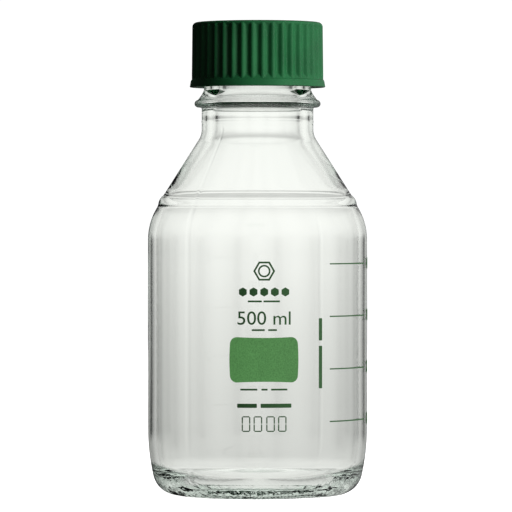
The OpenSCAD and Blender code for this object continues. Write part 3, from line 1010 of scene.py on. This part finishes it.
def glow(tree, output, tint=WHITE):
    """A surface that shines evenly, in one colour or in another node's output."""
    inputs = {"Color": tint, "Strength": PAPER_GLOW}
    feed(tree, output, {"Surface": added(tree, "Emission", inputs).outputs["Emission"]})


def ramp(tree, value, stops, bend="LINEAR"):
    """A grey ramp through (place, brightness) stops."""
    node = tree.nodes.new("ShaderNodeValToRGB")
    node.color_ramp.interpolation = bend
    elements = node.color_ramp.elements
    while len(elements) < len(stops):
        elements.new(0.5)
    for element, (place, level) in zip(elements, stops):
        element.position = place
        element.color = (level, level, level, 1)
    feed(tree, node, {"Fac": value})
    return node.outputs["Color"]


class BOTTLE_OT_stage(bpy.types.Operator):
    """Set the pale floor and backdrop, the shade behind the glass, the lamps and the camera"""

    bl_idname = "bottle.stage"
    bl_label = "Stage"

    def floor(self):
        """A pale floor that only the camera sees."""
        deselect()
        bpy.ops.mesh.primitive_circle_add(
            vertices=96, radius=3.9, fill_type="NGON", location=(0, 0, 0)
        )
        floor = bpy.context.object
        floor.name = "floor"
        material, tree, shader, _ = new_material("floor_paper")
        feed(tree, shader, {
            "Base Color": (0.93, 0.93, 0.93, 1), "Roughness": 1, "Specular IOR Level": 0,
            "Emission Color": WHITE, "Emission Strength": 0.88,
        })
        floor.data.materials.append(material)
        seen_by(floor, "camera")

    def backdrop(self):
        """A white dome that only the camera sees."""
        deselect()
        bpy.ops.mesh.primitive_uv_sphere_add(
            segments=48, ring_count=24, radius=4, location=(0, 0, 0)
        )
        dome = bpy.context.object
        dome.name = "backdrop"
        material, tree, _, output = new_material("backdrop_paper")
        glow(tree, output)
        dome.data.materials.append(material)
        seen_by(dome, "camera")

    def shade(self):
        """A glowing drum seen only through the glass, with painted shade: paler upwards, with
        painted dark strips all round.
        """
        deselect()
        bpy.ops.mesh.primitive_cylinder_add(vertices=128, radius=1.5, depth=3, location=(0, 0, 0))
        drum = bpy.context.object
        drum.name = "shade"
        material, tree, _, output = new_material("shade_paper")
        place = added(tree, "TexCoord", {}).outputs["Object"]
        height = added(tree, "SeparateXYZ", {"Vector": place}).outputs["Z"]
        # Painted shade: the glow grows darker lower down, which shades the glass body
        rise = ramp(tree, spread(tree, height, -0.4, 0.2), (
            (0, 0.78), (0.3, 0.7), (0.45, 0.62), (0.54, 0.62), (0.59, 0.68), (0.667, 0.75),
            (0.74, 0.83), (0.815, 0.96), (0.87, 1),
        ), "B_SPLINE")
        # Painted shade: dark strips all round, which darken the glass towards its edges
        round_about = added(tree, "TexGradient", {"Vector": place}, gradient_type="RADIAL")
        strips = reckon(tree, "MULTIPLY", round_about.outputs["Fac"], 8)
        fall = ramp(tree, reckon(tree, "PINGPONG", strips, 0.5), (
            (0, 1), (0.06, 1), (0.15, 0.87), (0.24, 0.75), (0.34, 0.6), (0.4, 0.36), (0.44, 0.02),
            (0.5, 0),
        ), "B_SPLINE")
        weight = ramp(tree, spread(tree, height, -0.3, 0.3), (
            (0, 0.45), (0.34, 0.3), (0.4, 1), (0.65, 1), (0.75, 0.4), (1, 0.3),
        ))
        tone = blend_colours(tree, weight, rise, fall, "MULTIPLY")
        glow(tree, output, blend_colours(tree, 1, tone, (0.983, 1, 0.955, 1), "MULTIPLY"))
        drum.data.materials.append(material)
        seen_by(drum, "transmission")

    def light(self, scene):
        """A key on the right, a fill behind, a lamp for the field, and a sky dark on the left."""
        world = bpy.data.worlds.new("studio")
        world.use_nodes = True
        tree = world.node_tree
        place = added(tree, "TexCoord", {}).outputs["Generated"]
        across = added(tree, "SeparateXYZ", {"Vector": place}).outputs["X"]
        strength = spread(tree, across, -0.25, 0.95, 0.02, 0.45)
        feed(tree, tree.nodes["Background"], {"Color": WHITE, "Strength": strength})
        scene.world = world
        key = lamp("key", (1.0, -0.68, 0.5), (0, 0, 0.09), 0.7, 20)
        lamp("fill", (-0.35, 1.5, 0.7), (0, 0, 0.12), 0.9, 9)
        front = lamp("field_light", (-0.15, -1.5, 0.45), (0, 0, 0.08), 0.7, 17)
        # The writing field is lit from the front instead of by the key, so it is even
        field = bpy.data.objects["writing_field_enamel"]
        for light, state in ((key, "EXCLUDE"), (front, "INCLUDE")):
            lit = bpy.data.collections.new(light.name + "_lights")
            lit.objects.link(field)
            light.light_linking.receiver_collection = lit
            lit.collection_objects[0].light_linking.link_state = state

    def camera(self, scene):
        """The camera a little above the middle of the bottle, looking slightly down."""
        deselect()
        bpy.ops.object.camera_add(location=CAMERA_PLACE)
        camera = bpy.context.object
        camera.name = "camera"
        camera.data.sensor_width = 36
        camera.data.lens = LENS
        camera.data.clip_end = 30
        aim = Vector(CAMERA_AIM) - camera.location
        camera.rotation_euler = aim.to_track_quat("-Z", "Y").to_euler()
        scene.camera = camera

    def execute(self, context):
        scene = context.scene
        self.floor()
        self.backdrop()
        self.shade()
        self.light(scene)
        self.camera(scene)
        scene.view_settings.view_transform = "Standard"
        scene.cycles.max_bounces = 32
        scene.cycles.glossy_bounces = 24
        scene.cycles.transmission_bounces = 32
        return {"FINISHED"}


class BOTTLE_PT_panel(bpy.types.Panel):
    """Lists the bottle's steps and sizes"""

    bl_idname = "BOTTLE_PT_panel"
    bl_label = "Reagent bottle"
    bl_space_type = "VIEW_3D"
    bl_region_type = "UI"
    bl_category = "Bottle"

    def draw(self, context):
        for operator in STEPS:
            self.layout.operator(operator.bl_idname)
        for name, group in GROUPS.items():
            box = self.layout.box()
            box.label(text=group.__doc__)
            settings = getattr(context.scene, name)
            for key in group.__annotations__:
                box.prop(settings, key)


GROUPS = {
    "bottle_glass": GlassSizes,
    "bottle_thread": ThreadSizes,
    "bottle_cap": CapSizes,
    "bottle_marks": MarkSizes,
    "bottle_finishes": Finishes,
}
STEPS = (
    BOTTLE_OT_glass,
    BOTTLE_OT_pouring_ring,
    BOTTLE_OT_seal,
    BOTTLE_OT_cap,
    BOTTLE_OT_column,
    BOTTLE_OT_graduation,
    BOTTLE_OT_stage,
)


def register():
    """Registers the settings, the steps and the panel."""
    for name, group in GROUPS.items():
        bpy.utils.register_class(group)
        setattr(bpy.types.Scene, name, bpy.props.PointerProperty(type=group))
    for kind in (*STEPS, BOTTLE_PT_panel):
        bpy.utils.register_class(kind)


def unregister():
    """Takes away what register added."""
    for kind in (BOTTLE_PT_panel, *reversed(STEPS)):
        bpy.utils.unregister_class(kind)
    for name, group in GROUPS.items():
        delattr(bpy.types.Scene, name)
        bpy.utils.unregister_class(group)


def main():
    """Builds the bottle."""
    register()
    bpy.ops.bottle.glass()
    bpy.ops.bottle.pouring_ring()
    bpy.ops.bottle.seal()
    bpy.ops.bottle.cap()
    bpy.ops.bottle.column()
    bpy.ops.bottle.graduation()
    bpy.ops.bottle.stage()


if __name__ == "__main__":
    main()
